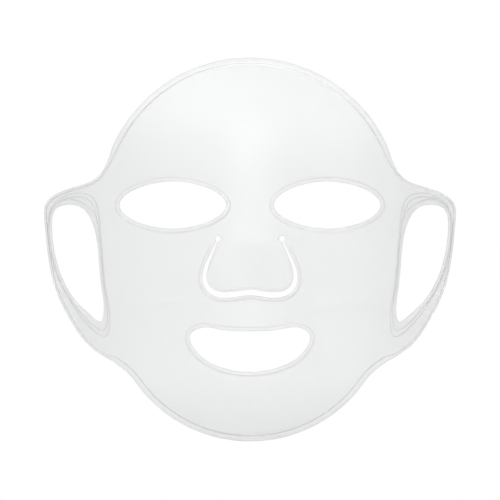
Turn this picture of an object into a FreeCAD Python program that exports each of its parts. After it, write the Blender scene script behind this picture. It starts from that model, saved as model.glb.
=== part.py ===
import FreeCAD, Part
import math
import os
from FreeCAD import Vector

os.makedirs("parts", exist_ok=True)

# A reusable silicone cover that is worn over a sheet mask: one soft moulding with eye, nose and
# mouth openings and a loop for each ear. It is built as the regions of that moulding, which meet
# face to face and part only at the three living hinges (nose flap and both ear loops).
# Millimetres, +Z up, the front faces -Y, the wearer's left is +X. The origin lies on the smooth
# inner face, between the eyes.

# Sections of the moulding. The inner face is smooth, and all that is thicker stands on the front.
SHEET = 1.0                 # plain sheet
EDGE_BEAD_HEIGHT = 2.2      # bead along the forehead and the chin
EDGE_BEAD_WIDTH = 4.0
RIM_HEIGHT = 1.8            # raised rims of the eye and mouth openings
RIM_WIDTH = 3.0
LIP_HEIGHT = 1.8            # raised lip beside the nose slit
LIP_WIDTH = 2.6
FLAP_RIM_HEIGHT = 1.5       # rim along the free edge of the nose flap
FLAP_RIM_WIDTH = 1.8
LOOP_SHEET = 1.5            # ear loops inside their bead
LOOP_BEAD_HEIGHT = 2.4      # bead round the outside of the ear loops
LOOP_BEAD_WIDTH = 2.2
GUIDE_HEIGHT = 0.5          # trim guides, ridges round the ear openings, above the loop's sheet
GUIDE_WIDTH = 0.7
RIM_BEVEL = 0.5             # bevel of the rims' front edges
BEAD_BEVEL = 0.7            # bevels of the outer edge of the beads
HINGE_GAP = 0.3             # between the bodies at each living hinge

# The form: a profile turned about an upright axis behind the face. The profile is straight along
# the loop hinges, leans back at the forehead and tucks under at the chin.
WRAP_RADIUS = 165.0         # bend round the face, seen from above
WRAP_ANGLE = 36.0           # how far round the form is made on each side, past the hinges
CROWN_RADIUS = 110.0
CHIN_TUCK_RADIUS = 62.0
PROFILE_MARGIN = 4.0        # how far the profile runs past the outline
HINGE_INSET = 8.0           # how far the loop hinges stand inside the forehead's widest place
NOSE_RISE = 8.0             # how far the middle of the flap's free edge stands proud of the panel
NOSE_HALF = 30.0            # half-width of that dome, which is straight down from the hinge

# Outline of the panel, seen from the front.
FOREHEAD_RADIUS = 91.0
FOREHEAD_TOP_Z = 88.7
CHIN_RADIUS = 84.3
CHIN_BOTTOM_Z = -142.1
JAW_SLOPE = 0.69            # rise of the straight lower edge from the chin out to the ear loop
NOTCH_LENGTH = 6.0          # how far the blend between the chin's arc and that edge runs on each

# Openings of the panel.
MOUTH_MARGIN = 1.0          # upright sheet between the mouth's rim and the start of the chin's tuck
EYE_MARGIN = 1.2            # sheet between the eye's rim and the loop's hinge
EYE_Z = 0.0
EYE_HALF = (32.3, 14.2)
EYE_POWER = 1.85            # below 2, the ends are more pointed than an ellipse's
MOUTH_Z = -78.0             # height of the mouth's widest line
MOUTH_HALF_WIDTH = 36.0
MOUTH_RISE = 3.9            # from the widest line up to the corners of the upper edge
MOUTH_DIP = 1.6             # how far the upper edge sinks in the middle
MOUTH_DROP = 22.2           # from the widest line down to the lowest point

# Nose slit: a U that ends in two small round holes, between which the flap hinges. Its course is
# given as shares of the way out from the holes to the widest place, and of the way down.
SLIT_TOP_X = 19.2
SLIT_TOP_Z = -20.2
SLIT_BOTTOM_Z = -53.6
SLIT_SPREAD = 8.1
SLIT_COURSE = [(0.0, 0.0), (0.4, 0.225), (0.83, 0.473), (1.0, 0.713), (0.68, 0.904), (-0.05, 1.0)]
SLIT_ARCH = 1.1             # how far the bottom run rises in the middle
SLIT_HOLE_RADIUS = 1.7
SLIT_TOP_WIDTH = 0.9
SLIT_BOTTOM_WIDTH = 3.4

# Ear loops, flat beyond their hinge. The outline and the opening are shares of the loop's width,
# measured in its plane, and of its height; the outline runs from the hinge's top to its foot.
LOOP_WIDTH = 48.0
LOOP_SHOULDER_DROP = 11.0   # from the hinge's top down to the loop's shoulder
LOOP_FOOT_Z = -94.0
LOOP_OUTLINE = [(0.10, 1.0), (0.22, 0.94), (0.49, 0.896), (0.83, 0.853), (0.98, 0.805), (1.0, 0.71),
                (0.94, 0.52), (0.83, 0.36), (0.61, 0.205), (0.36, 0.085)]
LOOP_OPENING = [(0.645, 0.8), (0.85, 0.772), (0.893, 0.7), (0.855, 0.56), (0.727, 0.415),
                (0.545, 0.31), (0.32, 0.235), (0.165, 0.203), (0.125, 0.265), (0.157, 0.37),
                (0.205, 0.545), (0.272, 0.685), (0.41, 0.772)]
# Trim guides: how far each stands outside the opening along the sides, and how much further at
# the opening's upper and lower corners; the fans say how much of that each opening point takes.
GUIDES = [(0.9, 3.1, 0.0), (1.9, 4.6, 3.6)]
UPPER_FAN = [0.5, 0.0, 0.0, 0.0, 0.0, 0.0, 0.0, 0.0, 0.0, 0.0, 0.0, 0.25, 1.0]
LOWER_FAN = [0.0, 0.0, 0.0, 0.0, 0.0, 0.05, 0.45, 1.0, 0.15, 0.0, 0.0, 0.0, 0.0]

STATIONS = 24               # points that an even curve beside another is made through
ARC_TOLERANCE = 0.08        # how near the tangent arcs of an outline keep to its curve
SECTION_POINTS = 13         # points that a cross-section of the dome is made through
REACH = 400.0               # longer than the whole mask, for cutting tools
ON_OUTLINE = 0.05           # how near an outline an edge's middle lies to count as on it
BROAD = 0.6                 # least part of a front or back face's normal that points along Y


# ---------------------------------------------------------------- values worked out from these

HINGE_X = FOREHEAD_RADIUS - HINGE_INSET
EYE_X = HINGE_X - EYE_MARGIN - RIM_WIDTH - EYE_HALF[0]
FOREHEAD_CENTRE_Z = FOREHEAD_TOP_Z - FOREHEAD_RADIUS
CHIN_CENTRE_Z = CHIN_BOTTOM_Z + CHIN_RADIUS
HINGE_TOP_Z = FOREHEAD_CENTRE_Z + math.sqrt(FOREHEAD_RADIUS ** 2 - HINGE_X ** 2)
CROWN_START_Z = HINGE_TOP_Z + EDGE_BEAD_WIDTH
LOOP_TOP_Z = HINGE_TOP_Z - LOOP_SHOULDER_DROP
CHIN_START_Z = min(LOOP_FOOT_Z, MOUTH_Z - MOUTH_DROP - RIM_WIDTH - MOUTH_MARGIN)
LOOP_RAKE = math.asin(HINGE_X / WRAP_RADIUS)


# ---------------------------------------------------------------- form

def wrap_depth(x):
    """Depth of the upright part of the inner face behind its middle."""
    return WRAP_RADIUS - math.sqrt(WRAP_RADIUS ** 2 - x ** 2)


def leaning(height, start_z, radius, end_z):
    """Arc of the profile at a height off the inner face, from the upright part to a level."""
    way = math.copysign(1, end_z - start_z)
    last = math.asin(abs(end_z - start_z) / radius)
    places = []
    for angle in (0, last / 2, last):
        out = (radius + height) * math.cos(angle)
        up = (radius + height) * math.sin(angle)
        places.append(Vector(0, radius - out, start_z + way * up))
    return Part.Arc(*places).toShape()


def profile(height):
    """Edges of the profile at a height off the inner face, from the chin up."""
    chin = leaning(height, CHIN_START_Z, CHIN_TUCK_RADIUS, CHIN_BOTTOM_Z - PROFILE_MARGIN)
    crown = leaning(height, CROWN_START_Z, CROWN_RADIUS, FOREHEAD_TOP_Z + PROFILE_MARGIN)
    upright = Part.makeLine(Vector(0, -height, CHIN_START_Z), Vector(0, -height, CROWN_START_Z))
    return [chin, upright, crown]


def end_line(low, high, curve):
    """Line between the outer ends of the same arc of two profiles."""
    ends = [edge.Vertexes[-1].Point for edge in (low[curve], high[curve])]
    return Part.makeLine(*ends)


def layer(height):
    """Solid from the inner face out to the given height on the front."""
    low = profile(0.0)
    high = profile(height)
    ends = [end_line(low, high, 0), end_line(low, high, 2)]
    band = Part.Face(Part.Wire(Part.__sortEdges__(low + high + ends)))
    axis = Vector(0, WRAP_RADIUS, 0), Vector(0, 0, 1)
    band.rotate(*axis, -WRAP_ANGLE)
    return band.revolve(*axis, 2 * WRAP_ANGLE)


def dome_depth(x, z):
    """Depth of the flap's inner face, which rises evenly from its hinge to its free edge."""
    share = (SLIT_TOP_Z - z) / (SLIT_TOP_Z - SLIT_BOTTOM_Z)
    return wrap_depth(x) - NOSE_RISE * share * max(0.0, 1 - (x / NOSE_HALF) ** 2) ** 2


def dome_section(z, height):
    """Cross-section of the dome at a height off its inner face, square to it."""
    step = 0.01
    points = []
    for i in range(SECTION_POINTS):
        x = NOSE_HALF * (2 * i / (SECTION_POINTS - 1) - 1)
        across = (dome_depth(x + step, z) - dome_depth(x - step, z)) / (2 * step)
        up = (dome_depth(x, z + step) - dome_depth(x, z - step)) / (2 * step)
        points.append(Vector(x, dome_depth(x, z) - height * math.sqrt(1 + across ** 2 + up ** 2), z))
    section = Part.BSplineCurve()
    section.interpolate(points)
    return section.toShape()


def dome_layer(height):
    """Solid from the flap's inner face out to the given height."""
    faces = []
    for level in (0.0, height):
        low = dome_section(SLIT_BOTTOM_Z - NOSE_RISE, level)
        high = dome_section(SLIT_TOP_Z + HINGE_GAP, level)
        faces.append(Part.makeRuledSurface(low, high))
    inner, front = faces
    sides = []
    for near, far in zip(inner.Edges, front.Edges):
        ends = [Part.makeLine(near.Vertexes[i].Point, far.Vertexes[i].Point) for i in (0, 1)]
        sides.append(Part.Face(Part.Wire(Part.__sortEdges__([near, ends[0], far, ends[1]]))))
    return Part.makeSolid(Part.makeShell([inner, front] + sides))


# ---------------------------------------------------------------- outlines, seen from the front

def at(x, z):
    return Vector(x, 0, z)


def both_sides(half):
    """Points of the +X half and their mirror images, on round the outline."""
    return half + [(-x, z) for x, z in reversed(half) if x > 0]


def curve_through(points, closed=False):
    curve = Part.BSplineCurve()
    curve.interpolate([at(x, z) for x, z in points], PeriodicFlag=closed)
    return curve


def beside(curve, distances, closed=False):
    """Curve that runs at the given distances to the right of another, evenly spaced along it."""
    span = curve.LastParameter - curve.FirstParameter
    gaps = len(distances) if closed else len(distances) - 1
    points = []
    for i, distance in enumerate(distances):
        where = curve.FirstParameter + span * i / gaps
        place = curve.value(where)
        along = curve.tangent(where)[0]
        points.append((place.x + distance * along.z, place.z - distance * along.x))
    return curve_through(points, closed)


def edges_of(curve):
    """The curve as a chain of tangent arcs."""
    return [arc.toShape() for arc in curve.toBiArcs(ARC_TOLERANCE)]


def inside(curve, closing=()):
    """Flat face inside a curve, which straight edges may close."""
    return Part.Face(Part.Wire(edges_of(curve) + list(closing)))


def disc(x, z, radius):
    return Part.Face(Part.Wire(Part.makeCircle(radius, at(x, z), Vector(0, 1, 0))))


def rectangle(x_low, x_high, z_low, z_high):
    corners = [at(x_low, z_low), at(x_high, z_low), at(x_high, z_high), at(x_low, z_high)]
    return Part.Face(Part.makePolygon(corners + corners[:1]))


def mirrored(shape):
    return shape.mirror(Vector(0, 0, 0), Vector(1, 0, 0))


def forehead_z(x):
    return FOREHEAD_CENTRE_Z + math.sqrt(FOREHEAD_RADIUS ** 2 - x ** 2)


def jaw_edge(x):
    return at(x, LOOP_FOOT_Z + JAW_SLOPE * (x - HINGE_X))


def jaw_corner_x():
    """Where the chin's circle would meet the jaw's edge."""
    drop = jaw_edge(0).z - CHIN_CENTRE_Z
    spread = 1 + JAW_SLOPE ** 2
    root = (JAW_SLOPE * drop) ** 2 - spread * (drop ** 2 - CHIN_RADIUS ** 2)
    return (math.sqrt(root) - JAW_SLOPE * drop) / spread


def notch():
    """Blend from the chin's arc to the jaw's edge, on the wearer's left."""
    corner = jaw_edge(jaw_corner_x())
    angle = math.atan2(corner.z - CHIN_CENTRE_Z, corner.x) - NOTCH_LENGTH / CHIN_RADIUS
    start = at(CHIN_RADIUS * math.cos(angle), CHIN_CENTRE_Z + CHIN_RADIUS * math.sin(angle))
    # the middle pole is where the tangent at the start meets the jaw's edge
    slope = -1 / math.tan(angle)
    pole = jaw_edge((start.z - slope * start.x - jaw_edge(0).z) / (JAW_SLOPE - slope))
    blend = Part.BezierCurve()
    blend.setPoles([start, pole, jaw_edge(corner.x + NOTCH_LENGTH)])
    return blend


def panel_outline():
    """Outline of the panel. It runs on a little past the hinges, where the pieces are cut off."""
    side = HINGE_X + 3 * SHEET
    top = at(side, forehead_z(side))
    blend = notch()
    start = blend.StartPoint
    right = [Part.makeLine(jaw_edge(side), top), Part.makeLine(blend.EndPoint, jaw_edge(side)),
             blend.toShape()]
    left = [mirrored(edge) for edge in right]
    forehead = Part.Arc(top, at(0, FOREHEAD_TOP_Z), at(-top.x, top.z)).toShape()
    chin = Part.Arc(at(-start.x, start.z), at(0, CHIN_BOTTOM_Z), start).toShape()
    return Part.Wire(Part.__sortEdges__([forehead, chin] + right + left))


def eye_outline(outside=0.0):
    """Edge of the eye opening, or a curve the given distance outside it."""
    points = []
    for i in range(STATIONS):
        angle = 2 * math.pi * i / STATIONS
        across = math.copysign(abs(math.cos(angle)) ** (2 / EYE_POWER), math.cos(angle))
        up = math.copysign(abs(math.sin(angle)) ** (2 / EYE_POWER), math.sin(angle))
        points.append((EYE_X + EYE_HALF[0] * across, EYE_Z + EYE_HALF[1] * up))
    return beside(curve_through(points, closed=True), [outside] * STATIONS, closed=True)


def mouth_outline(outside=0.0):
    """Edge of the mouth opening, or a curve the given distance outside it."""
    wide = MOUTH_HALF_WIDTH
    corner_z = MOUTH_Z + MOUTH_RISE
    half = [(0, MOUTH_Z - MOUTH_DROP), (0.6 * wide, MOUTH_Z - 0.8 * MOUTH_DROP),
            (0.94 * wide, MOUTH_Z - 0.35 * MOUTH_DROP), (wide, MOUTH_Z), (0.86 * wide, corner_z),
            (0.5 * wide, corner_z - 0.4 * MOUTH_DIP), (0, corner_z - MOUTH_DIP)]
    return beside(curve_through(both_sides(half), closed=True), [outside] * STATIONS, closed=True)


def slit_curve(side, extra=0.0):
    """One edge of the slit, or a curve a further distance outside it.

    side is 1 for the panel's edge and -1 for the flap's.
    """
    half = [(SLIT_TOP_X + out * SLIT_SPREAD, SLIT_TOP_Z + down * (SLIT_BOTTOM_Z - SLIT_TOP_Z))
            for out, down in SLIT_COURSE]
    half.append((0, SLIT_BOTTOM_Z + SLIT_ARCH))
    middle = curve_through(both_sides(half))
    span = middle.LastParameter - middle.FirstParameter
    distances = []
    for i in range(STATIONS + 1):
        height = middle.value(middle.FirstParameter + span * i / STATIONS).z
        depth = min(1.0, (SLIT_TOP_Z - height) / (SLIT_TOP_Z - SLIT_BOTTOM_Z))
        half_width = (SLIT_TOP_WIDTH + (SLIT_BOTTOM_WIDTH - SLIT_TOP_WIDTH) * depth) / 2
        distances.append(-side * half_width - extra)
    return beside(middle, distances)


def inside_slit(side, extra=0.0):
    """Flat face inside an edge of the slit, closed along the flap's hinge line."""
    edge = slit_curve(side, extra)
    return inside(edge, [Part.makeLine(edge.EndPoint, edge.StartPoint)])


# ---------------------------------------------------------------- regions, seen from the front

def slit_holes():
    return [disc(x, SLIT_TOP_Z, SLIT_HOLE_RADIUS) for x in (-SLIT_TOP_X, SLIT_TOP_X)]


def nose_window():
    """What the flap, its hinge gap, the slit and its end holes take out of the panel."""
    hinge = rectangle(-SLIT_TOP_X, SLIT_TOP_X, SLIT_TOP_Z - HINGE_GAP, SLIT_TOP_Z + HINGE_GAP / 2)
    return inside_slit(1).fuse([hinge] + slit_holes()).removeSplitter()


def lip_region():
    below = rectangle(-REACH, REACH, -REACH, SLIT_TOP_Z)
    return inside_slit(1, LIP_WIDTH).common(below).cut(nose_window())


def forehead_region():
    """Band along the forehead's edge."""
    inner = disc(0, FOREHEAD_CENTRE_Z, FOREHEAD_RADIUS - EDGE_BEAD_WIDTH)
    upper = rectangle(-REACH, REACH, FOREHEAD_CENTRE_Z, REACH)
    return Part.Face(panel_outline()).common(upper).cut(inner)


def chin_region():
    """Band along the chin and the jaw, as high as the bead is wide."""
    outline = Part.Face(panel_outline())
    raised_outline = outline.copy()
    raised_outline.translate(at(0, EDGE_BEAD_WIDTH))
    lower = rectangle(-REACH, REACH, -REACH, FOREHEAD_CENTRE_Z)
    return outline.common(lower).cut(raised_outline)


def sheet_region():
    """The plain sheet that is left between the beads, the rims and the lip."""
    eye = inside(eye_outline(RIM_WIDTH))
    mouth = inside(mouth_outline(RIM_WIDTH))
    taken = [forehead_region(), chin_region(), eye, mirrored(eye), mouth, lip_region(), nose_window()]
    return Part.Face(panel_outline()).cut(taken)


def flap_region():
    hinge = rectangle(-REACH, REACH, SLIT_TOP_Z - HINGE_GAP / 2, REACH)
    return inside_slit(-1).cut([hinge] + slit_holes())


def flap_middle():
    """The flap inside its rim, which leaves the hinge line free."""
    inner = inside_slit(-1, -FLAP_RIM_WIDTH)
    upper = inner.copy()
    upper.translate(at(0, FLAP_RIM_WIDTH))
    return inner.fuse(upper).removeSplitter()


# ---------------------------------------------------------------- solids of the panel and the flap

def only(shape):
    """The one solid that a cut leaves, without the slivers beyond it."""
    return max(shape.Solids, key=lambda solid: solid.Volume)


def raised(region, form):
    """Solid of a form over a flat region."""
    start = region.copy()
    start.translate(Vector(0, -REACH / 2, 0))
    return form.common(start.extrude(Vector(0, REACH, 0)))


def edges_along(solid, wire):
    """Edges of the front and back faces that run along an outline, seen from the front."""
    found = {"front": [], "back": []}
    for face in solid.Faces:
        across, across_end, up, up_end = face.ParameterRange
        normal = face.normalAt((across + across_end) / 2, (up + up_end) / 2)
        if abs(normal.y) < BROAD:
            continue
        side = "front" if normal.y < 0 else "back"
        for edge in face.Edges:
            middle = edge.valueAt((edge.FirstParameter + edge.LastParameter) / 2)
            if wire.distToShape(Part.Vertex(middle.x, 0, middle.z))[0] < ON_OUTLINE:
                found[side].append(edge)
    return found


def rim(outline):
    """Raised ring outside an opening, bevelled along both front edges."""
    region = inside(outline(RIM_WIDTH)).cut(inside(outline()))
    ring = only(raised(region, layer(RIM_HEIGHT)))
    front = [edge for wire in region.Wires for edge in edges_along(ring, wire)["front"]]
    return only(ring.makeChamfer(RIM_BEVEL, front))


def bead(region, past):
    """Raised band along the panel's edge, with a bevelled outside."""
    solid = only(raised(region, layer(EDGE_BEAD_HEIGHT)).cut(past))
    outside = edges_along(solid, panel_outline())
    return only(solid.makeChamfer(BEAD_BEVEL, outside["front"] + outside["back"]))


# ---------------------------------------------------------------- ear loops, in their own plane

def loop_points(shares):
    height = LOOP_TOP_Z - LOOP_FOOT_Z
    return [(across * LOOP_WIDTH, LOOP_FOOT_Z + up * height) for across, up in shares]


def inside_loop(inset=0.0):
    """Flat face inside a loop's outline, closed on the panel's side of the hinge."""
    points = [(0, HINGE_TOP_Z)] + loop_points(LOOP_OUTLINE) + [(0, LOOP_FOOT_Z)]
    edge = beside(curve_through(points), [inset] * STATIONS)
    near = -3 * LOOP_BEAD_WIDTH
    corners = [edge.EndPoint, at(near, edge.EndPoint.z), at(near, edge.StartPoint.z), edge.StartPoint]
    return inside(edge, [Part.makeLine(corners[i], corners[i + 1]) for i in range(3)])


def round_opening(offsets):
    """Curve round the opening, which stands its own distance outside each of the opening's points."""
    points = loop_points(LOOP_OPENING)
    moved = []
    for i, (x, z) in enumerate(points):
        before = points[i - 1]
        after = points[(i + 1) % len(points)]
        along = at(after[0] - before[0], after[1] - before[1]).normalize()
        moved.append((x - along.z * offsets[i], z + along.x * offsets[i]))
    return curve_through(moved, closed=True)


def guide_region(side, upper, lower):
    offsets = [side + upper * UPPER_FAN[i] + lower * LOWER_FAN[i] for i in range(len(LOOP_OPENING))]
    outer = inside(round_opening([offset + GUIDE_WIDTH / 2 for offset in offsets]))
    inner = inside(round_opening([offset - GUIDE_WIDTH / 2 for offset in offsets]))
    return outer.cut(inner)


def past_hinge():
    """The side of the hinge on which a loop lies, in the loop's plane."""
    return rectangle(HINGE_GAP / 2, REACH, -REACH, REACH)


def forward(region, start, end):
    """Plate over a flat region, between two heights above the inner face."""
    plate = region.copy()
    plate.translate(Vector(0, -start, 0))
    return plate.extrude(Vector(0, start - end, 0))


def in_place(shape):
    """Turn a shape from the loop's plane to where the loop joins the panel, on the wearer's left."""
    placed = shape.copy()
    placed.rotate(Vector(0, 0, 0), Vector(0, 0, 1), math.degrees(LOOP_RAKE))
    placed.translate(Vector(HINGE_X, wrap_depth(HINGE_X), 0))
    return placed


def beyond_hinges():
    """All that lies past the two loop hinges, less half of their gap."""
    block = Part.makeBox(REACH, REACH, REACH, Vector(-HINGE_GAP / 2, -REACH / 2, -REACH / 2))
    left = in_place(block)
    return [left, mirrored(left)]


def loop_pieces():
    """Sheet, outer bead and trim guides of the left loop."""
    outline = inside_loop().common(past_hinge())
    core = inside_loop(LOOP_BEAD_WIDTH).common(past_hinge())
    opening = inside(round_opening([0.0] * len(LOOP_OPENING)))
    sheet = forward(core.cut(opening), 0, LOOP_SHEET)
    band = only(forward(outline.cut(core), 0, LOOP_BEAD_HEIGHT))
    outside = edges_along(band, inside_loop().OuterWire)
    band = only(band.makeChamfer(BEAD_BEVEL, outside["front"] + outside["back"]))
    ridges = []
    for side, upper, lower in GUIDES:
        ridge = guide_region(side, upper, lower).common(core)
        ridges.append(forward(ridge, LOOP_SHEET, LOOP_SHEET + GUIDE_HEIGHT))
    return {"ear_loop": only(sheet), "loop_bead": band, "loop_guides": Part.makeCompound(ridges)}


# ---------------------------------------------------------------- the mask

def mask_pieces():
    past = beyond_hinges()
    eye_rim = rim(eye_outline)
    pieces = {
        "face_panel": only(raised(sheet_region(), layer(SHEET)).cut(past)),
        "forehead_bead": bead(forehead_region(), past),
        "chin_bead": bead(chin_region(), past),
        "left_eye_rim": eye_rim,
        "right_eye_rim": mirrored(eye_rim),
        "mouth_rim": rim(mouth_outline),
        "nose_slit_lip": only(raised(lip_region(), layer(LIP_HEIGHT))),
        "nose_flap": only(raised(flap_region().common(flap_middle()), dome_layer(SHEET))),
        "nose_flap_rim": only(raised(flap_region().cut(flap_middle()), dome_layer(FLAP_RIM_HEIGHT))),
    }
    for name, shape in loop_pieces().items():
        left = in_place(shape)
        pieces["left_" + name] = left
        pieces["right_" + name] = mirrored(left)
    return pieces


for name, shape in mask_pieces().items():
    shape.exportStep(os.path.join("parts", name + ".step"))
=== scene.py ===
import math

import bpy
import numpy as np
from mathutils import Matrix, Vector
from mathutils.geometry import delaunay_2d_cdt
from mathutils.kdtree import KDTree


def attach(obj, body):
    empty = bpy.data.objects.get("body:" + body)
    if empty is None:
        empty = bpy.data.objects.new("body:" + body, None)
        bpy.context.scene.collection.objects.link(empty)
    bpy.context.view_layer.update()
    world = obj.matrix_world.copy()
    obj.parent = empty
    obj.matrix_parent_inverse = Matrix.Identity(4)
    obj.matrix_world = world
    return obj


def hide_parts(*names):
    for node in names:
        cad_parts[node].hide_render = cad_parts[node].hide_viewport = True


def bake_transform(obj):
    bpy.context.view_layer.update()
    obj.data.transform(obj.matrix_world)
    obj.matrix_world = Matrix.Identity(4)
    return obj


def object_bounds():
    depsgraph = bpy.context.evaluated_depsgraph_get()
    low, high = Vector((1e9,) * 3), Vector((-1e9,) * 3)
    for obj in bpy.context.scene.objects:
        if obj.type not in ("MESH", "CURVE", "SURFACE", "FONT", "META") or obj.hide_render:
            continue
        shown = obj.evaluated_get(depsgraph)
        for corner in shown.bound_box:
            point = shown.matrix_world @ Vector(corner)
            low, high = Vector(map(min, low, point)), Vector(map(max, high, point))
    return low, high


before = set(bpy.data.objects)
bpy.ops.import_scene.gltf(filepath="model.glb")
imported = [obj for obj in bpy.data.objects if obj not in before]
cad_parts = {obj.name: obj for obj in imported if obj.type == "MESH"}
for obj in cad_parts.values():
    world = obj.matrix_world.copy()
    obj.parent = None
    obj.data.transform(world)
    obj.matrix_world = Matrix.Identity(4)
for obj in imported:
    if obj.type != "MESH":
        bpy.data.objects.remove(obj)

# A translucent silicone face cover. The whole moulding is laid out flat as one net of points,
# lifted onto the form of the face with its own thickness at every point, and then parted into
# pieces, of which the face's skin rides on the panel's body. Lengths are in millimetres until a mesh is
# made.

cad_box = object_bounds()
MM = 0.001

# Form of the inner face, as in the frame's solids: a profile turned about an upright axis, a flap
# that rises from its hinge, and ear loops that lie flat beyond theirs.
WRAP_RADIUS = 165.0
HINGE_X = 83.0
CROWN_START_Z = 39.0
CROWN_RADIUS = 110.0
CHIN_START_Z = -104.2
CHIN_TUCK_RADIUS = 62.0
NOSE_RISE = 8.0
NOSE_HALF = 30.0
NOSE_GENTLE = 0.15          # share of the flap's length over which its rise begins gently

# Outline and openings.
FOREHEAD_RADIUS = 91.0
FOREHEAD_TOP_Z = 88.7
CHIN_RADIUS = 84.3
CHIN_BOTTOM_Z = -142.1
JAW_SLOPE = 0.69
NOTCH_LENGTH = 6.0          # of the blend between the chin's arc and the jaw, on each side
NOTCH_POINTS = 120
EYE_X = 46.5
EYE_Z = 0.0
EYE_HALF = (32.3, 14.2)
EYE_POWER = 1.85            # 2 would make an ellipse
EYE_STEPS = 12              # knots along half of an eye's edge
MOUTH_Z = -78.0
MOUTH_HALF_WIDTH = 36.0
MOUTH_RISE = 3.9
MOUTH_DIP = 1.6
MOUTH_DROP = 22.2
MOUTH_LOWER = [(0.0, 1.0), (0.6, 0.8), (0.94, 0.35), (1.0, 0.0)]    # shares of width and drop
MOUTH_UPPER = [(0.86, 0.0), (0.5, 0.4), (0.0, 1.0)]                 # shares of width and dip
SLIT_TOP_X = 19.2
SLIT_TOP_Z = -20.2
SLIT_BOTTOM_Z = -53.6
SLIT_SPREAD = 8.1
SLIT_COURSE = [(0.0, 0.0), (0.4, 0.225), (0.83, 0.473), (1.0, 0.713), (0.68, 0.904), (-0.05, 1.0)]
SLIT_ARCH = 1.1
SLIT_HOLE_RADIUS = 1.7
SLIT_TOP_WIDTH = 0.9
SLIT_BOTTOM_WIDTH = 3.4
LOOP_WIDTH = 48.0
LOOP_TOP_Z = 24.01
LOOP_FOOT_Z = -94.0
LOOP_OUTLINE = [(0.10, 1.0), (0.22, 0.94), (0.49, 0.896), (0.83, 0.853), (0.98, 0.805), (1.0, 0.71),
                (0.94, 0.52), (0.83, 0.36), (0.61, 0.205), (0.36, 0.085)]
LOOP_OPENING = [(0.645, 0.8), (0.85, 0.772), (0.893, 0.7), (0.855, 0.56), (0.727, 0.415),
                (0.545, 0.31), (0.32, 0.235), (0.165, 0.203), (0.125, 0.265), (0.157, 0.37),
                (0.205, 0.545), (0.272, 0.685), (0.41, 0.772)]
# Trim guides: how far each stands outside the opening along the sides, and how much further at
# the opening's upper and lower corners. A third line runs round the upper inner corner alone.
GUIDES = [(1.9, 4.6, 3.6), (2.7, 6.7, 6.8)]
UPPER_FAN = [0.5, 0.0, 0.0, 0.0, 0.0, 0.0, 0.0, 0.0, 0.0, 0.0, 0.0, 0.25, 1.0]
LOWER_FAN = [0.0, 0.0, 0.0, 0.0, 0.0, 0.05, 0.45, 1.0, 0.15, 0.0, 0.0, 0.0, 0.0]
CORNER_GUIDE = [(0.81, 0.806), (0.694, 0.824), (0.46, 0.812), (0.342, 0.785), (0.273, 0.758),
                (0.231, 0.724), (0.212, 0.70)]

# Thickness of the moulding: the plain sheet, and bands that stand higher along its edges.
SHEET = 1.0
LOOP_SHEET = 1.5
EDGE_BEAD = (4.0, 2.2)      # width and height
LOOP_BEAD = (2.2, 2.4)
RIM = (3.0, 1.8)
LIP = (2.6, 1.8)
FLAP_RIM = (1.8, 1.5)
GUIDE = (0.55, 0.22)
RIDGE_SINK = 0.12           # how deep a guide's foot stands in the sheet
BAND_SLOPE = 1.3            # width of the slope on a band's inner side
LIP_FADE = 8.0              # how far below the slit's end holes its bands reach full height
HINGE_LEAD = 6.0            # where the bead and the sheet begin to change before a loop's hinge,
HINGE_CHANGE = 14.0         # and over what length
FRONT_ROUND = 0.7           # rounding of every edge, in front and behind
BACK_ROUND = 0.35

# Silicone.
MILKY = (0.962, 0.966, 0.968, 1.0)
PAINTED_SHADE_KEEP = 0.82            # painted shade: share of the base colour kept for each extra thickness that a leaning surface would put in light's way
DARKEST_PAINTED_SHADE = 0.72              # painted shade: the darkest tone that an edge's slope is painted
LEAST_LEVEL = 0.2           # cosine of the steepest lean that counts
MOTTLE = 0.03
MOTTLE_SCALE = 60.0
MOTTLE_DETAIL = 4.0
ROUGHNESS = (0.25, 0.12)    # the least, and how much the mottling adds
TRANSMISSION = 0.35
INDEX = 1.41                # of refraction

# View.
VIEW_WIDTH = 300.0
VIEW_CENTRE_Z = -27.0
CAMERA_DISTANCE = 4500.0
SENSOR_WIDTH = 36.0

# Stage, in metres and watts. A lamp has a name, a place, a point that it aims at, a diameter
# and a power.
LAMPS = [
    ("key", (-0.9, -1.3, 0.75), (0, 0, -0.03), 1.6, 7.6),
    ("fill", (1.1, -1.2, 0.2), (0, 0, -0.03), 1.0, 3.8),
    ("back", (0.2, 1.2, 0.8), (0, 0, -0.03), 0.9, 4),
    ("front", (0.0, -1.6, 0.15), (0, 0, -0.05), 0.5, 3.9),
    ("chin", (0.06, -1.05, -0.72), (0, 0, -0.12), 0.12, 8),
]
WORLD_LIGHT = 0.55          # strength that lights the object
WORLD_SEEN = 1.0            # strength that is seen directly, in gloss and through the sheet
FLOOR_DROP = 0.16           # from the chin down to the floor
FLOOR_RADIUS = 0.5
FLOOR_SIDES = 96
FLOOR_COLOUR = (0.9, 0.9, 0.9, 1)
FLOOR_ROUGHNESS = 0.9

# Soft folds low on the cheeks, where the sheet has been bent.
FOLDS = [[(22, -68), (40, -62.5), (57, -59.5), (80, -61.5)], [(-80, -66), (-62, -60), (-42, -58)]]
FOLD = (2.4, 0.6)           # half-width and height

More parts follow.
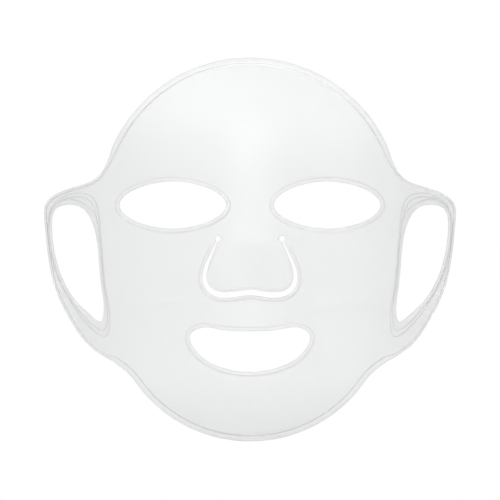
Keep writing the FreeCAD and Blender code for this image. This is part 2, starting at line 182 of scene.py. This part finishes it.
# Net.
EDGE_STEP = 1.1             # between points along an edge
EAR_STEP = 0.9
SLIT_STEP = 0.8
HOLE_STEP = 0.45
GRID_STEP = 2.6             # between points of the open sheet
GRID_GAP = 0.62             # share of that step which the grid keeps from the edges' rows
ROW_GAP = 0.09              # least distance between points of the rows
ROW_SLACK = 0.03            # how much nearer to its own edge a row's point may come
FINE_STEP = 0.15            # between the points that distances are measured to
TOUCH = 0.001               # how near to a hinge counts as on it
MERGE_GAP = 1e-5            # below which two points of the net are one
ROUND_ROWS = [0.05, 0.16, 0.34, 0.6]                        # rows on an edge's rounding
CREST_ROWS = [0.33, 0.67]                                   # shares of a band's crest
SLOPE_ROWS = [0.0, 0.17, 0.33, 0.5, 0.67, 0.83, 1.0]        # shares of a band's slope
OPEN_ROWS = [0.8, 2.2]                                      # beyond a band

# Ridge of a trim guide.
RIDGE_POINTS = 7            # across its crest
RIDGE_ROOT = 0.7            # width of its root in the sheet, as a share of the ridge's width
RIDGE_END = 0.1             # how far into a half turn the taper of an open ridge's end begins


# ---------------------------------------------------------------- form

def ease(share):
    """Smooth step from 0 to 1, level at both ends."""
    share = np.clip(share, 0.0, 1.0)
    return share ** 3 * (10 - 15 * share + 6 * share ** 2)


LOOP_SLOPE = HINGE_X / math.sqrt(WRAP_RADIUS ** 2 - HINGE_X ** 2)
LOOP_RAKE = math.atan(LOOP_SLOPE)


def arc_depth(radius, reach):
    """How far a circle has fallen away from its tangent."""
    return radius - np.sqrt(radius ** 2 - reach ** 2)


def flap_rise(x, z):
    """How far the flap stands proud of the panel's form."""
    way = np.maximum(0.0, (SLIT_TOP_Z - z) / (SLIT_TOP_Z - SLIT_BOTTOM_Z))
    gentle = np.where(way < NOSE_GENTLE, way ** 2 / (2 * NOSE_GENTLE), way - NOSE_GENTLE / 2)
    across = np.maximum(0.0, 1 - (x / NOSE_HALF) ** 2) ** 2
    return NOSE_RISE * gentle / (1 - NOSE_GENTLE / 2) * across


def inner_depth(x, z, flap):
    """How far behind the origin the inner face lies, at places in space seen from the front."""
    side = np.abs(x)
    near = np.minimum(side, HINGE_X)
    lean = arc_depth(CROWN_RADIUS, np.maximum(0.0, z - CROWN_START_Z))
    lean = lean + arc_depth(CHIN_TUCK_RADIUS, np.maximum(0.0, CHIN_START_Z - z))
    wrap = WRAP_RADIUS - np.sqrt((WRAP_RADIUS - lean) ** 2 - near ** 2)
    return wrap + LOOP_SLOPE * (side - near) - np.where(flap, flap_rise(x, z), 0.0)


# ---------------------------------------------------------------- curves of the layout
# The layout is seen from the front. Beyond the loop hinges it lies in the loops' own plane.

def evenly(points, step, closed=False):
    """Points at even steps along a line; a closed line's first point isn't repeated."""
    line = np.array(points, dtype=float)
    if closed:
        line = np.vstack([line, line[:1]])
    reach = np.concatenate([[0.0], np.cumsum(np.linalg.norm(np.diff(line, axis=0), axis=1))])
    count = max(2, round(reach[-1] / step))
    places = np.linspace(0.0, reach[-1], count + 1)
    if closed:
        places = places[:-1]
    return np.column_stack([np.interp(places, reach, line[:, axis]) for axis in (0, 1)])


def smooth_line(points, closed=False, fine=0.1):
    """A cubic spline through the points, as a finely divided line."""
    knots = np.array(points, dtype=float)
    if closed:
        knots = np.vstack([knots, knots[:1]])
    spans = np.linalg.norm(np.diff(knots, axis=0), axis=1)
    count = len(knots)
    matrix = np.eye(count)
    turn = np.zeros((count, 2))
    for i in range(1, count - 1):
        matrix[i, i - 1:i + 2] = spans[i - 1], 2 * (spans[i - 1] + spans[i]), spans[i]
        turn[i] = 6 * ((knots[i + 1] - knots[i]) / spans[i] - (knots[i] - knots[i - 1]) / spans[i - 1])
    if closed:
        matrix[0, 0], matrix[0, -1] = 1, -1
        matrix[-1, 0] = matrix[-1, -1] = spans[0] + spans[-1]
        matrix[-1, 1] = spans[0]
        matrix[-1, -2] = spans[-1]
        turn[-1] = 6 * ((knots[1] - knots[0]) / spans[0] - (knots[-1] - knots[-2]) / spans[-1])
    bend = np.linalg.solve(matrix, turn)
    pieces = []
    for i in range(count - 1):
        after = np.arange(0, 1, fine / spans[i])[:, None]
        before = 1 - after
        curve = before * knots[i] + after * knots[i + 1]
        curve += ((before ** 3 - before) * bend[i] + (after ** 3 - after) * bend[i + 1]) * spans[i] ** 2 / 6
        pieces.append(curve)
    if not closed:
        pieces.append(knots[-1:])
    return np.vstack(pieces)


def arc(centre_z, radius, start, end, fine=0.1):
    """Part of a circle about a point of the middle line, between two angles."""
    angles = np.linspace(start, end, max(2, round(abs(end - start) * radius / fine)))
    return np.column_stack([radius * np.cos(angles), centre_z + radius * np.sin(angles)])


def mirrored(line):
    """The same line on the other side of the face, with its points in the opposite order."""
    return line[::-1] * (-1, 1)


def square_to(line, closed=True):
    """Unit vectors to the right of travel at each point."""
    if closed:
        along = np.roll(line, -1, axis=0) - np.roll(line, 1, axis=0)
    else:
        along = np.gradient(line, axis=0)
    along /= np.linalg.norm(along, axis=1)[:, None]
    return np.column_stack([along[:, 1], -along[:, 0]])


def loop_points(shares):
    """Places on the left loop, from shares of its width and of its height."""
    return [(HINGE_X + across * LOOP_WIDTH, LOOP_FOOT_Z + up * (LOOP_TOP_Z - LOOP_FOOT_Z))
            for across, up in shares]


def outer_edge():
    """The outline, counter-clockwise from the lowest point."""
    crown_z = FOREHEAD_TOP_Z - FOREHEAD_RADIUS
    chin_z = CHIN_BOTTOM_Z + CHIN_RADIUS
    jaw_zero = LOOP_FOOT_Z - JAW_SLOPE * HINGE_X
    drop = jaw_zero - chin_z
    spread = 1 + JAW_SLOPE ** 2
    root = (JAW_SLOPE * drop) ** 2 - spread * (drop ** 2 - CHIN_RADIUS ** 2)
    corner_x = (math.sqrt(root) - JAW_SLOPE * drop) / spread
    corner = (corner_x, jaw_zero + JAW_SLOPE * corner_x)
    chin_end = math.atan2(corner[1] - chin_z, corner[0]) - NOTCH_LENGTH / CHIN_RADIUS
    chin = arc(chin_z, CHIN_RADIUS, -math.pi / 2, chin_end)
    slope = -1 / math.tan(chin_end)
    pole_x = (chin[-1][1] - slope * chin[-1][0] - jaw_zero) / (JAW_SLOPE - slope)
    pole = np.array([pole_x, jaw_zero + JAW_SLOPE * pole_x])
    blend_end = np.array([corner_x + NOTCH_LENGTH, jaw_zero + JAW_SLOPE * (corner_x + NOTCH_LENGTH)])
    share = np.linspace(0, 1, NOTCH_POINTS)[:, None]
    notch = (1 - share) ** 2 * chin[-1] + 2 * share * (1 - share) * pole + share ** 2 * blend_end
    hinge_top = (HINGE_X, crown_z + math.sqrt(FOREHEAD_RADIUS ** 2 - HINGE_X ** 2))
    foot = (HINGE_X, LOOP_FOOT_Z)
    loop = smooth_line([foot] + loop_points(LOOP_OUTLINE)[::-1] + [hinge_top])
    forehead = arc(crown_z, FOREHEAD_RADIUS, math.acos(HINGE_X / FOREHEAD_RADIUS), math.pi / 2)
    below = evenly(np.vstack([chin, notch[1:], [foot]]), EDGE_STEP)
    beside = evenly(loop, EDGE_STEP)
    above = evenly(forehead, EDGE_STEP)
    half = np.vstack([below, beside[1:], above[1:]])
    return np.vstack([half, mirrored(half)[1:-1]])


def eye_edge(side):
    """Edge of an eye opening, nearly an ellipse with slightly pointed ends."""
    points = []
    for angle in np.arange(2 * EYE_STEPS) * math.pi / EYE_STEPS:
        across = math.copysign(abs(math.cos(angle)) ** (2 / EYE_POWER), math.cos(angle))
        up = math.copysign(abs(math.sin(angle)) ** (2 / EYE_POWER), math.sin(angle))
        points.append((EYE_X + EYE_HALF[0] * across, EYE_Z + EYE_HALF[1] * up))
    line = smooth_line(points, closed=True)
    return evenly(line if side > 0 else mirrored(line), EDGE_STEP, closed=True)


def mouth_edge():
    """Edge of the mouth opening, from its lowest point round by the left corner."""
    wide = MOUTH_HALF_WIDTH
    corner_z = MOUTH_Z + MOUTH_RISE
    half = [(across * wide, MOUTH_Z - down * MOUTH_DROP) for across, down in MOUTH_LOWER]
    half += [(across * wide, corner_z - down * MOUTH_DIP) for across, down in MOUTH_UPPER]
    points = half + [(-x, z) for x, z in reversed(half) if x > 0]
    return evenly(smooth_line(points, closed=True), EDGE_STEP, closed=True)


def slit_middle():
    """Middle line of the nose slit, from the left end hole to the right one."""
    half = [(SLIT_TOP_X + out * SLIT_SPREAD, SLIT_TOP_Z + down * (SLIT_BOTTOM_Z - SLIT_TOP_Z))
            for out, down in SLIT_COURSE]
    half.append((0, SLIT_BOTTOM_Z + SLIT_ARCH))
    return smooth_line(half + [(-x, z) for x, z in reversed(half) if x > 0])


def slit_edge():
    """Edge of the nose slit and its two end holes, counter-clockwise as seen from the front."""
    middle = slit_middle()[::-1]
    depth = np.clip((SLIT_TOP_Z - middle[:, 1]) / (SLIT_TOP_Z - SLIT_BOTTOM_Z), 0, 1)
    half_width = (SLIT_TOP_WIDTH + (SLIT_BOTTOM_WIDTH - SLIT_TOP_WIDTH) * depth) / 2
    outward = square_to(middle, closed=False) * half_width[:, None]
    hole = np.array([SLIT_TOP_X, SLIT_TOP_Z])
    sides = []
    for line in (middle + outward, middle - outward):
        far = np.hypot(np.abs(line[:, 0]) - hole[0], line[:, 1] - hole[1]) > SLIT_HOLE_RADIUS
        sides.append(line[far])
    outer, inner = sides
    start = math.atan2(*(outer[-1] - hole)[::-1])
    end = math.atan2(*(inner[-1] - hole)[::-1]) + 2 * math.pi
    cap = evenly(arc(0, SLIT_HOLE_RADIUS, start, math.pi, fine=0.05) + hole, HOLE_STEP)
    rest = evenly(arc(0, SLIT_HOLE_RADIUS, math.pi, end, fine=0.05) + hole, HOLE_STEP)
    inner = evenly(inner[::-1], SLIT_STEP)
    outer = evenly(outer, SLIT_STEP)
    left_rest = mirrored(rest)
    left_cap = mirrored(cap)
    return np.vstack([outer[:-1], cap[:-1], rest[:-1], inner[:-1], left_rest[:-1], left_cap[:-1]])


def ear_edge(side, offsets=None):
    """Edge of an ear opening, or a line that stands its own distance outside each point."""
    points = np.array(loop_points(LOOP_OPENING))
    if offsets is not None:
        along = np.roll(points, -1, axis=0) - np.roll(points, 1, axis=0)
        along /= np.linalg.norm(along, axis=1)[:, None]
        away = np.column_stack([-along[:, 1], along[:, 0]])
        points = points + away * np.array(offsets)[:, None]
    line = smooth_line(points, closed=True)[::-1]
    return evenly(line if side > 0 else mirrored(line), EAR_STEP, closed=True)


def guide_lines(side):
    """Middle lines of a loop's trim guides, with whether each is closed."""
    lines = []
    for beside, upper, lower in GUIDES:
        offsets = [beside + upper * UPPER_FAN[i] + lower * LOWER_FAN[i]
                   for i in range(len(LOOP_OPENING))]
        lines.append((ear_edge(side, offsets), True))
    corner = evenly(smooth_line(loop_points(CORNER_GUIDE)), EDGE_STEP)
    lines.append((corner if side > 0 else mirrored(corner), False))
    return lines


# ---------------------------------------------------------------- net of points

EDGES = {
    "outer": outer_edge(),
    "left_eye": eye_edge(1),
    "right_eye": eye_edge(-1),
    "mouth": mouth_edge(),
    "slit": slit_edge(),
    "left_ear": ear_edge(1),
    "right_ear": ear_edge(-1),
}


def rows_beside(width):
    """Distances of the rows of points along an edge, at places where its band is this wide."""
    crest = width - BAND_SLOPE
    first = ROUND_ROWS[-1]
    rows = list(ROUND_ROWS)
    rows += [first + (crest - first) * share for share in CREST_ROWS]
    rows += [crest + BAND_SLOPE * share for share in SLOPE_ROWS]
    return rows + [width + beyond for beyond in OPEN_ROWS]


def outer_width(points):
    """Width of the bead along the outline, which narrows from the panel to the loops."""
    out = beyond_hinge(points)
    return EDGE_BEAD[0] + (LOOP_BEAD[0] - EDGE_BEAD[0]) * out


def beyond_hinge(points):
    """0 on the panel and 1 on the loops, with a gentle change about the hinges."""
    return ease((np.abs(points[:, 0]) - HINGE_X + HINGE_LEAD) / HINGE_CHANGE)


def rows_of(name, line):
    """Rows of points beside an edge, each row with its own distance at every point."""
    if name.endswith("ear"):
        return [np.full(len(line), row) for row in ROUND_ROWS]
    if name == "outer":
        return rows_beside(outer_width(line))
    return [np.full(len(line), row) for row in rows_beside(LIP[0] if name == "slit" else RIM[0])]


def nearest_to(line, closed=True):
    """Tree for the distance to a line, which is divided finely first."""
    dense = evenly(line, FINE_STEP, closed)
    tree = KDTree(len(dense))
    for i, (x, z) in enumerate(dense):
        tree.insert((x, z, 0.0), i)
    tree.balance()
    return tree


def distances(tree, points):
    """Distance of each point from a tree's line."""
    return np.array([tree.find((x, z, 0.0))[2] for x, z in points])


TREES = {name: nearest_to(line) for name, line in EDGES.items()}
FOLD_TREES = [nearest_to(smooth_line(points), closed=False) for points in FOLDS]


def inside(line, points):
    """Which points lie inside a closed line."""
    found = np.zeros(len(points), dtype=bool)
    x, z = points[:, 0], points[:, 1]
    for (x_a, z_a), (x_b, z_b) in zip(line, np.roll(line, -1, axis=0)):
        crosses = (z_a > z) != (z_b > z)
        if z_a != z_b:
            found ^= crosses & (x < (x_b - x_a) * (z - z_a) / (z_b - z_a) + x_a)
    return found


def on_sheet(points):
    """Which points lie on the moulding: inside its outline and in none of its openings."""
    found = inside(EDGES["outer"], points)
    for name, line in EDGES.items():
        if name != "outer":
            found &= ~inside(line, points)
    return found


def edge_net():
    """Points and fixed lines of all the edges and of the seams at the three hinges."""
    points = []
    fixed = []
    for line in EDGES.values():
        first = len(points)
        count = len(line)
        points.extend(line.tolist())
        fixed.extend((first + i, first + (i + 1) % count) for i in range(count))
    outer = EDGES["outer"]
    for side in (-1, 1):
        ends = outer[np.abs(outer[:, 0] - side * HINGE_X) < TOUCH]
        low, high = sorted(ends.tolist(), key=lambda end: end[1])
        add_line(points, fixed, low, high)
    reach = SLIT_TOP_X - SLIT_HOLE_RADIUS
    add_line(points, fixed, (-reach, SLIT_TOP_Z), (reach, SLIT_TOP_Z))
    return np.array(points), fixed


def edge_rows():
    """Points of the rows that follow the edges, where no other edge is nearer."""
    rows = []
    for name, line in EDGES.items():
        away = square_to(line) if name != "outer" else -square_to(line)
        for row in rows_of(name, line):
            placed = line + away * np.reshape(row, (-1, 1))
            near = distances(TREES[name], placed) > row - ROW_SLACK
            for other, tree in TREES.items():
                if other != name:
                    near &= distances(tree, placed) > row
            rows.append(placed[near])
    rows = np.vstack(rows)
    return rows[on_sheet(rows)]


def layout():
    """Points, triangles and middles of the triangles of the whole layout."""
    points, fixed = edge_net()
    points = np.vstack([points, thinned(points, edge_rows(), ROW_GAP)])
    grid = hex_grid(EDGES["outer"])
    points = np.vstack([points, thinned(points, grid[on_sheet(grid)], GRID_GAP * GRID_STEP)])
    inside_only = 1
    verts, _, faces, _, _, _ = delaunay_2d_cdt(
        [Vector(point) for point in points.tolist()], fixed, [], inside_only, MERGE_GAP)
    verts = np.array([tuple(vert) for vert in verts])
    faces = np.array([tuple(face) for face in faces])
    centres = verts[faces].mean(axis=1)
    keep = on_sheet(centres)
    return verts, faces[keep], centres[keep]


def add_line(points, fixed, start, end):
    """Adds a straight seam between two points of the edges."""
    count = max(2, round(math.dist(start, end) / EDGE_STEP))
    shares = np.linspace(0, 1, count + 1)[:, None]
    first = len(points)
    points.extend((np.array(start) * (1 - shares) + np.array(end) * shares).tolist())
    fixed.extend((first + i, first + i + 1) for i in range(count))


def thinned(taken, offered, gap):
    """The offered points that stand clear of the taken ones and of each other."""
    cells = {}
    for x, z in taken:
        cells.setdefault((int(x // gap), int(z // gap)), []).append((x, z))
    kept = []
    for x, z in offered:
        home = int(x // gap), int(z // gap)
        around = ((home[0] + i, home[1] + j) for i in (-1, 0, 1) for j in (-1, 0, 1))
        if all(math.dist((x, z), other) >= gap for key in around for other in cells.get(key, ())):
            cells.setdefault(home, []).append((x, z))
            kept.append((x, z))
    return np.array(kept)


def hex_grid(outline):
    """Points at even steps over the whole outline, every second row moved by half a step."""
    low = outline.min(axis=0)
    high = outline.max(axis=0)
    rise = GRID_STEP * math.sqrt(3) / 2
    points = []
    for j, z in enumerate(np.arange(low[1], high[1], rise)):
        shift = GRID_STEP / 2 if j % 2 else 0.0
        points.extend((x, z) for x in np.arange(low[0] + shift, high[0], GRID_STEP))
    return np.array(points)


# ---------------------------------------------------------------- thickness

def band(distance, width, height):
    """How much a band raises the sheet at a distance from its edge."""
    return height * (1 - ease((distance - width + BAND_SLOPE) / BAND_SLOPE))


def rounding(distance, radius):
    """How far a rounded edge has fallen at a distance from the edge."""
    left = np.clip(radius - distance, 0.0, radius)
    return radius - np.sqrt(radius ** 2 - left ** 2)


def heights(points):
    """Heights of the front and the back over the inner face."""
    z = points[:, 1]
    away = {name: distances(tree, points) for name, tree in TREES.items()}
    out = beyond_hinge(points)
    sheet = SHEET + (LOOP_SHEET - SHEET) * out
    top = EDGE_BEAD[1] + (LOOP_BEAD[1] - EDGE_BEAD[1]) * out
    raised = band(away["outer"], outer_width(points), top - sheet)
    for name in ("left_eye", "right_eye", "mouth"):
        raised = np.maximum(raised, band(away[name], RIM[0], RIM[1] - sheet))
    flap = on_flap(points)
    fade = ease((SLIT_TOP_Z - z) / LIP_FADE)
    slit_width = np.where(flap, FLAP_RIM[0], LIP[0])
    slit_rise = np.where(flap, FLAP_RIM[1], LIP[1]) - SHEET
    raised = np.maximum(raised, band(away["slit"], slit_width, slit_rise * fade))
    edge = np.min(list(away.values()), axis=0)
    fold = np.max([folded(tree, points) for tree in FOLD_TREES], axis=0)
    front = sheet + raised - rounding(edge, FRONT_ROUND) + fold
    return front, rounding(edge, BACK_ROUND) + fold


def folded(tree, points):
    """How much a fold lifts the sheet near its line."""
    share = np.clip(1 - distances(tree, points) / FOLD[0], 0.0, 1.0)
    return FOLD[1] * ease(share)


def on_flap(points):
    """Which points lie on the nose flap: within the slit and under the hinge."""
    middle = slit_middle()[::5]             # every fifth point is close enough here
    return inside(middle, points) & (points[:, 1] <= SLIT_TOP_Z)


# ---------------------------------------------------------------- meshes

def in_space(points):
    """X in space of layout points: the loops lean back beyond their hinges."""
    side = np.abs(points[:, 0])
    x = np.where(side > HINGE_X, HINGE_X + (side - HINGE_X) * math.cos(LOOP_RAKE), side)
    return np.copysign(x, points[:, 0])


def slopes(x, z, flap, step=0.01):
    """How steeply the inner face falls back, across and upward."""
    across = (inner_depth(x + step, z, flap) - inner_depth(x - step, z, flap)) / (2 * step)
    up = (inner_depth(x, z + step, flap) - inner_depth(x, z - step, flap)) / (2 * step)
    return across, up


def lifted(points, height, flap=False):
    """Places in space of layout points, at a height over the inner face."""
    x = in_space(points)
    z = points[:, 1]
    across, up = slopes(x, z, flap)
    y = inner_depth(x, z, flap) - height * np.sqrt(1 + across ** 2 + up ** 2)
    return np.column_stack([x, y, z]) * MM


def sheet_normals(points, flap=False):
    """Forward normals of the plain inner face, without the bands and the rounded edges."""
    across, up = slopes(in_space(points), points[:, 1], flap)
    normals = np.column_stack([across, -np.ones(len(points)), up])
    return normals / np.linalg.norm(normals, axis=1)[:, None]


def mark_painted_edge_shade(mesh, normals):
    """Marks painted shade: how much of the base colour is kept where a surface leans away from the sheet's
    own face.
    """
    count = len(mesh.vertices)
    own = np.empty(3 * count)
    mesh.vertices.foreach_get("normal", own)
    level = np.abs(np.sum(own.reshape(-1, 3) * normals, axis=1))
    extra = 1 / np.maximum(level, LEAST_LEVEL) - 1
    # The "clear" attribute holds painted shade: darker where a surface leans away from the sheet, on the
    # slopes of edges and bands.
    mark = mesh.attributes.new("clear", "FLOAT", "POINT")
    mark.data.foreach_set("value", np.maximum(PAINTED_SHADE_KEEP ** extra, DARKEST_PAINTED_SHADE))


def make_object(name, places, polygons, normals):
    """Smooth mesh object in the scene, with its painted edge shade marked."""
    mesh = bpy.data.meshes.new(name)
    mesh.from_pydata(places.tolist(), [], polygons)
    mesh.polygons.foreach_set("use_smooth", [True] * len(mesh.polygons))
    mesh.update()
    mark_painted_edge_shade(mesh, normals)
    made = bpy.data.objects.new(name, mesh)
    bpy.context.scene.collection.objects.link(made)
    return made


def make_piece(name, net, chosen, front, back, normals):
    """Closed skin over the chosen triangles, left open along the seams."""
    verts, faces, edge_pairs = net
    triangles = faces[chosen]
    used = np.unique(triangles)
    count = len(used)
    place = np.full(len(verts), -1)
    place[used] = np.arange(count)
    local = place[triangles]
    polygons = [tuple(face) for face in local.tolist()]
    polygons += [tuple(index + count for index in face[::-1]) for face in local.tolist()]
    for a, b in edge_pairs:
        a, b = place[a], place[b]
        if a >= 0 and b >= 0:
            polygons.append((b, a, a + count, b + count))
    places = np.vstack([front[used], back[used]])
    return make_object(name, places, polygons, np.vstack([normals[used], normals[used]]))


def free_edges(faces):
    """Directed edges that belong to one triangle only, in the triangle's own direction."""
    seen = {}
    for a, b, c in faces.tolist():
        for pair in ((a, b), (b, c), (c, a)):
            seen[pair] = True
    return [pair for pair in seen if (pair[1], pair[0]) not in seen]


def make_skins():
    """The panel's, the flap's and the loops' skins, all cut from one net."""
    verts, faces, centres = layout()
    front_height, back_height = heights(verts)
    flap_verts = on_flap(verts)
    front = lifted(verts, front_height, flap_verts)
    back = lifted(verts, back_height, flap_verts)
    normals = sheet_normals(verts, flap_verts)
    net = (verts, faces, free_edges(faces))
    flap = on_flap(centres)
    left = centres[:, 0] > HINGE_X
    right = centres[:, 0] < -HINGE_X
    parts = {"face_skin": ~(flap | left | right), "nose_flap_skin": flap,
             "left_loop_skin": left, "right_loop_skin": right}
    return {name: make_piece(name, net, chosen, front, back, normals)
            for name, chosen in parts.items()}


def make_ridge(name, line, closed):
    """Low rounded ridge along a line on the front of a loop, with its foot sunk in the sheet."""
    away = square_to(line, closed)
    count = len(line)
    if closed:
        taper = np.ones(count)
    else:
        taper = np.sin(np.linspace(RIDGE_END, math.pi - RIDGE_END, count)) ** 0.5
    ring = [(share, GUIDE[1] * (1 - share ** 2) - RIDGE_SINK * share ** 2)
            for share in np.linspace(-1.0, 1.0, RIDGE_POINTS)]
    ring += [(RIDGE_ROOT, -2 * RIDGE_SINK), (-RIDGE_ROOT, -2 * RIDGE_SINK)]
    rows = []
    normals = []
    for share, rise in ring:
        points = line + away * (share * GUIDE[0] / 2 * taper)[:, None]
        height = heights(points)[0] + rise * np.where(rise > 0, taper, 1.0)
        rows.append(lifted(points, height))
        normals.append(sheet_normals(points))
    places = np.stack(rows, axis=1).reshape(-1, 3)
    size = len(ring)
    polygons = []
    for i in range(count if closed else count - 1):
        for j in range(size):
            here, after = i * size, (i + 1) % count * size
            k = (j + 1) % size
            polygons.append((here + j, here + k, after + k, after + j))
    if not closed:
        polygons.append(tuple(range(size))[::-1])
        polygons.append(tuple((count - 1) * size + j for j in range(size)))
    return make_object(name, places, polygons, np.stack(normals, axis=1).reshape(-1, 3))


# ---------------------------------------------------------------- material

def math_node(nodes, links, operation, *values):
    """A math node whose inputs are numbers or other nodes' outputs."""
    node = nodes.new("ShaderNodeMath")
    node.operation = operation
    for socket, value in zip(node.inputs, values):
        if isinstance(value, bpy.types.NodeSocket):
            links.new(value, socket)
        else:
            socket.default_value = value
    return node.outputs[0]


def silicone():
    """Milky silicone, a little mottled, with painted shade on the slopes of its edges and bands."""
    material = bpy.data.materials.new("milky_silicone")
    material.use_nodes = True
    nodes = material.node_tree.nodes
    links = material.node_tree.links
    shader = nodes["Principled BSDF"]
    # Painted shade from the "clear" attribute, times the random mottle, darkens the base colour.
    clear = nodes.new("ShaderNodeAttribute")
    clear.attribute_name = "clear"
    grain = nodes.new("ShaderNodeTexNoise")
    grain.inputs["Scale"].default_value = MOTTLE_SCALE
    grain.inputs["Detail"].default_value = MOTTLE_DETAIL
    mottle = math_node(nodes, links, "MULTIPLY_ADD", grain.outputs["Fac"], MOTTLE, 1 - MOTTLE / 2)
    painted_shade_and_mottle = math_node(nodes, links, "MULTIPLY", clear.outputs["Fac"], mottle)
    tint = nodes.new("ShaderNodeMix")
    tint.data_type = "RGBA"
    tint.inputs["A"].default_value = (0.0, 0.0, 0.0, 1.0)
    tint.inputs["B"].default_value = MILKY
    links.new(painted_shade_and_mottle, tint.inputs["Factor"])
    links.new(tint.outputs["Result"], shader.inputs["Base Color"])
    least, added = ROUGHNESS
    rough = math_node(nodes, links, "MULTIPLY_ADD", grain.outputs["Fac"], added, least)
    links.new(rough, shader.inputs["Roughness"])
    shader.inputs["IOR"].default_value = INDEX
    shader.inputs["Transmission Weight"].default_value = TRANSMISSION
    return material


# ---------------------------------------------------------------- stage

def light(name, place, aim, size, watts):
    """Round area lamp that faces the point it aims at."""
    data = bpy.data.lights.new(name, "AREA")
    data.shape = "DISK"
    data.size = size
    data.energy = watts
    lamp = bpy.data.objects.new(name, data)
    lamp.location = place
    lamp.rotation_euler = (Vector(aim) - Vector(place)).to_track_quat("-Z", "Y").to_euler()
    bpy.context.scene.collection.objects.link(lamp)


def background(nodes, strength):
    """White background shader."""
    node = nodes.new("ShaderNodeBackground")
    node.inputs["Color"].default_value = (1.0, 1.0, 1.0, 1.0)
    node.inputs["Strength"].default_value = strength
    return node


def make_world():
    """White world that lights the object less than it shows behind it."""
    world = bpy.data.worlds.new("studio")
    bpy.context.scene.world = world
    world.use_nodes = True
    nodes = world.node_tree.nodes
    links = world.node_tree.links
    nodes.clear()
    path = nodes.new("ShaderNodeLightPath")
    seen = math_node(nodes, links, "MAXIMUM", path.outputs["Is Camera Ray"], path.outputs["Is Glossy Ray"])
    seen = math_node(nodes, links, "MAXIMUM", seen, path.outputs["Is Transmission Ray"])
    mix = nodes.new("ShaderNodeMixShader")
    links.new(seen, mix.inputs["Fac"])
    links.new(background(nodes, WORLD_LIGHT).outputs[0], mix.inputs[1])
    links.new(background(nodes, WORLD_SEEN).outputs[0], mix.inputs[2])
    out = nodes.new("ShaderNodeOutputWorld")
    links.new(mix.outputs[0], out.inputs["Surface"])


def make_floor(low):
    """Pale round floor under the object."""
    bpy.ops.mesh.primitive_circle_add(vertices=FLOOR_SIDES, radius=FLOOR_RADIUS, fill_type="NGON",
                                      location=(0, 0, low))
    floor = bpy.context.object
    floor.name = "floor"
    material = bpy.data.materials.new("pale_floor")
    material.use_nodes = True
    shader = material.node_tree.nodes["Principled BSDF"]
    shader.inputs["Base Color"].default_value = FLOOR_COLOUR
    shader.inputs["Roughness"].default_value = FLOOR_ROUGHNESS
    floor.data.materials.append(material)


def make_camera():
    """Camera square to the face, far enough away that depth hardly changes the outline."""
    data = bpy.data.cameras.new("front")
    data.sensor_width = SENSOR_WIDTH
    data.lens = data.sensor_width * CAMERA_DISTANCE / VIEW_WIDTH
    camera = bpy.data.objects.new("front", data)
    camera.location = (0, -CAMERA_DISTANCE * MM, VIEW_CENTRE_Z * MM)
    camera.rotation_euler = (math.pi / 2, 0, 0)
    bpy.context.scene.collection.objects.link(camera)
    bpy.context.scene.camera = camera


# ---------------------------------------------------------------- the scene

skins = make_skins()
finish = silicone()
for skin in skins.values():
    skin.data.materials.append(finish)

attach(skins["face_skin"], "panel")
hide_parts("face_panel", "forehead_bead", "chin_bead", "left_eye_rim",
            "right_eye_rim", "mouth_rim", "nose_slit_lip")

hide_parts("nose_flap", "nose_flap_rim")
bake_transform(skins["nose_flap_skin"])

for side, word in ((1, "left"), (-1, "right")):
    skin = skins[word + "_loop_skin"]
    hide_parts(word + "_ear_loop", word + "_loop_bead")
    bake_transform(skin)
    for number, (line, closed) in enumerate(guide_lines(side)):
        ridge = make_ridge(word + "_guide_" + str(number + 1), line, closed)
        ridge.data.materials.append(finish)
        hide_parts(word + "_loop_guides")
        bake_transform(ridge)

make_world()
make_floor(cad_box[0][2] - FLOOR_DROP)
make_camera()
for lamp in LAMPS:
    light(*lamp)
bpy.context.scene.view_settings.view_transform = "Standard"
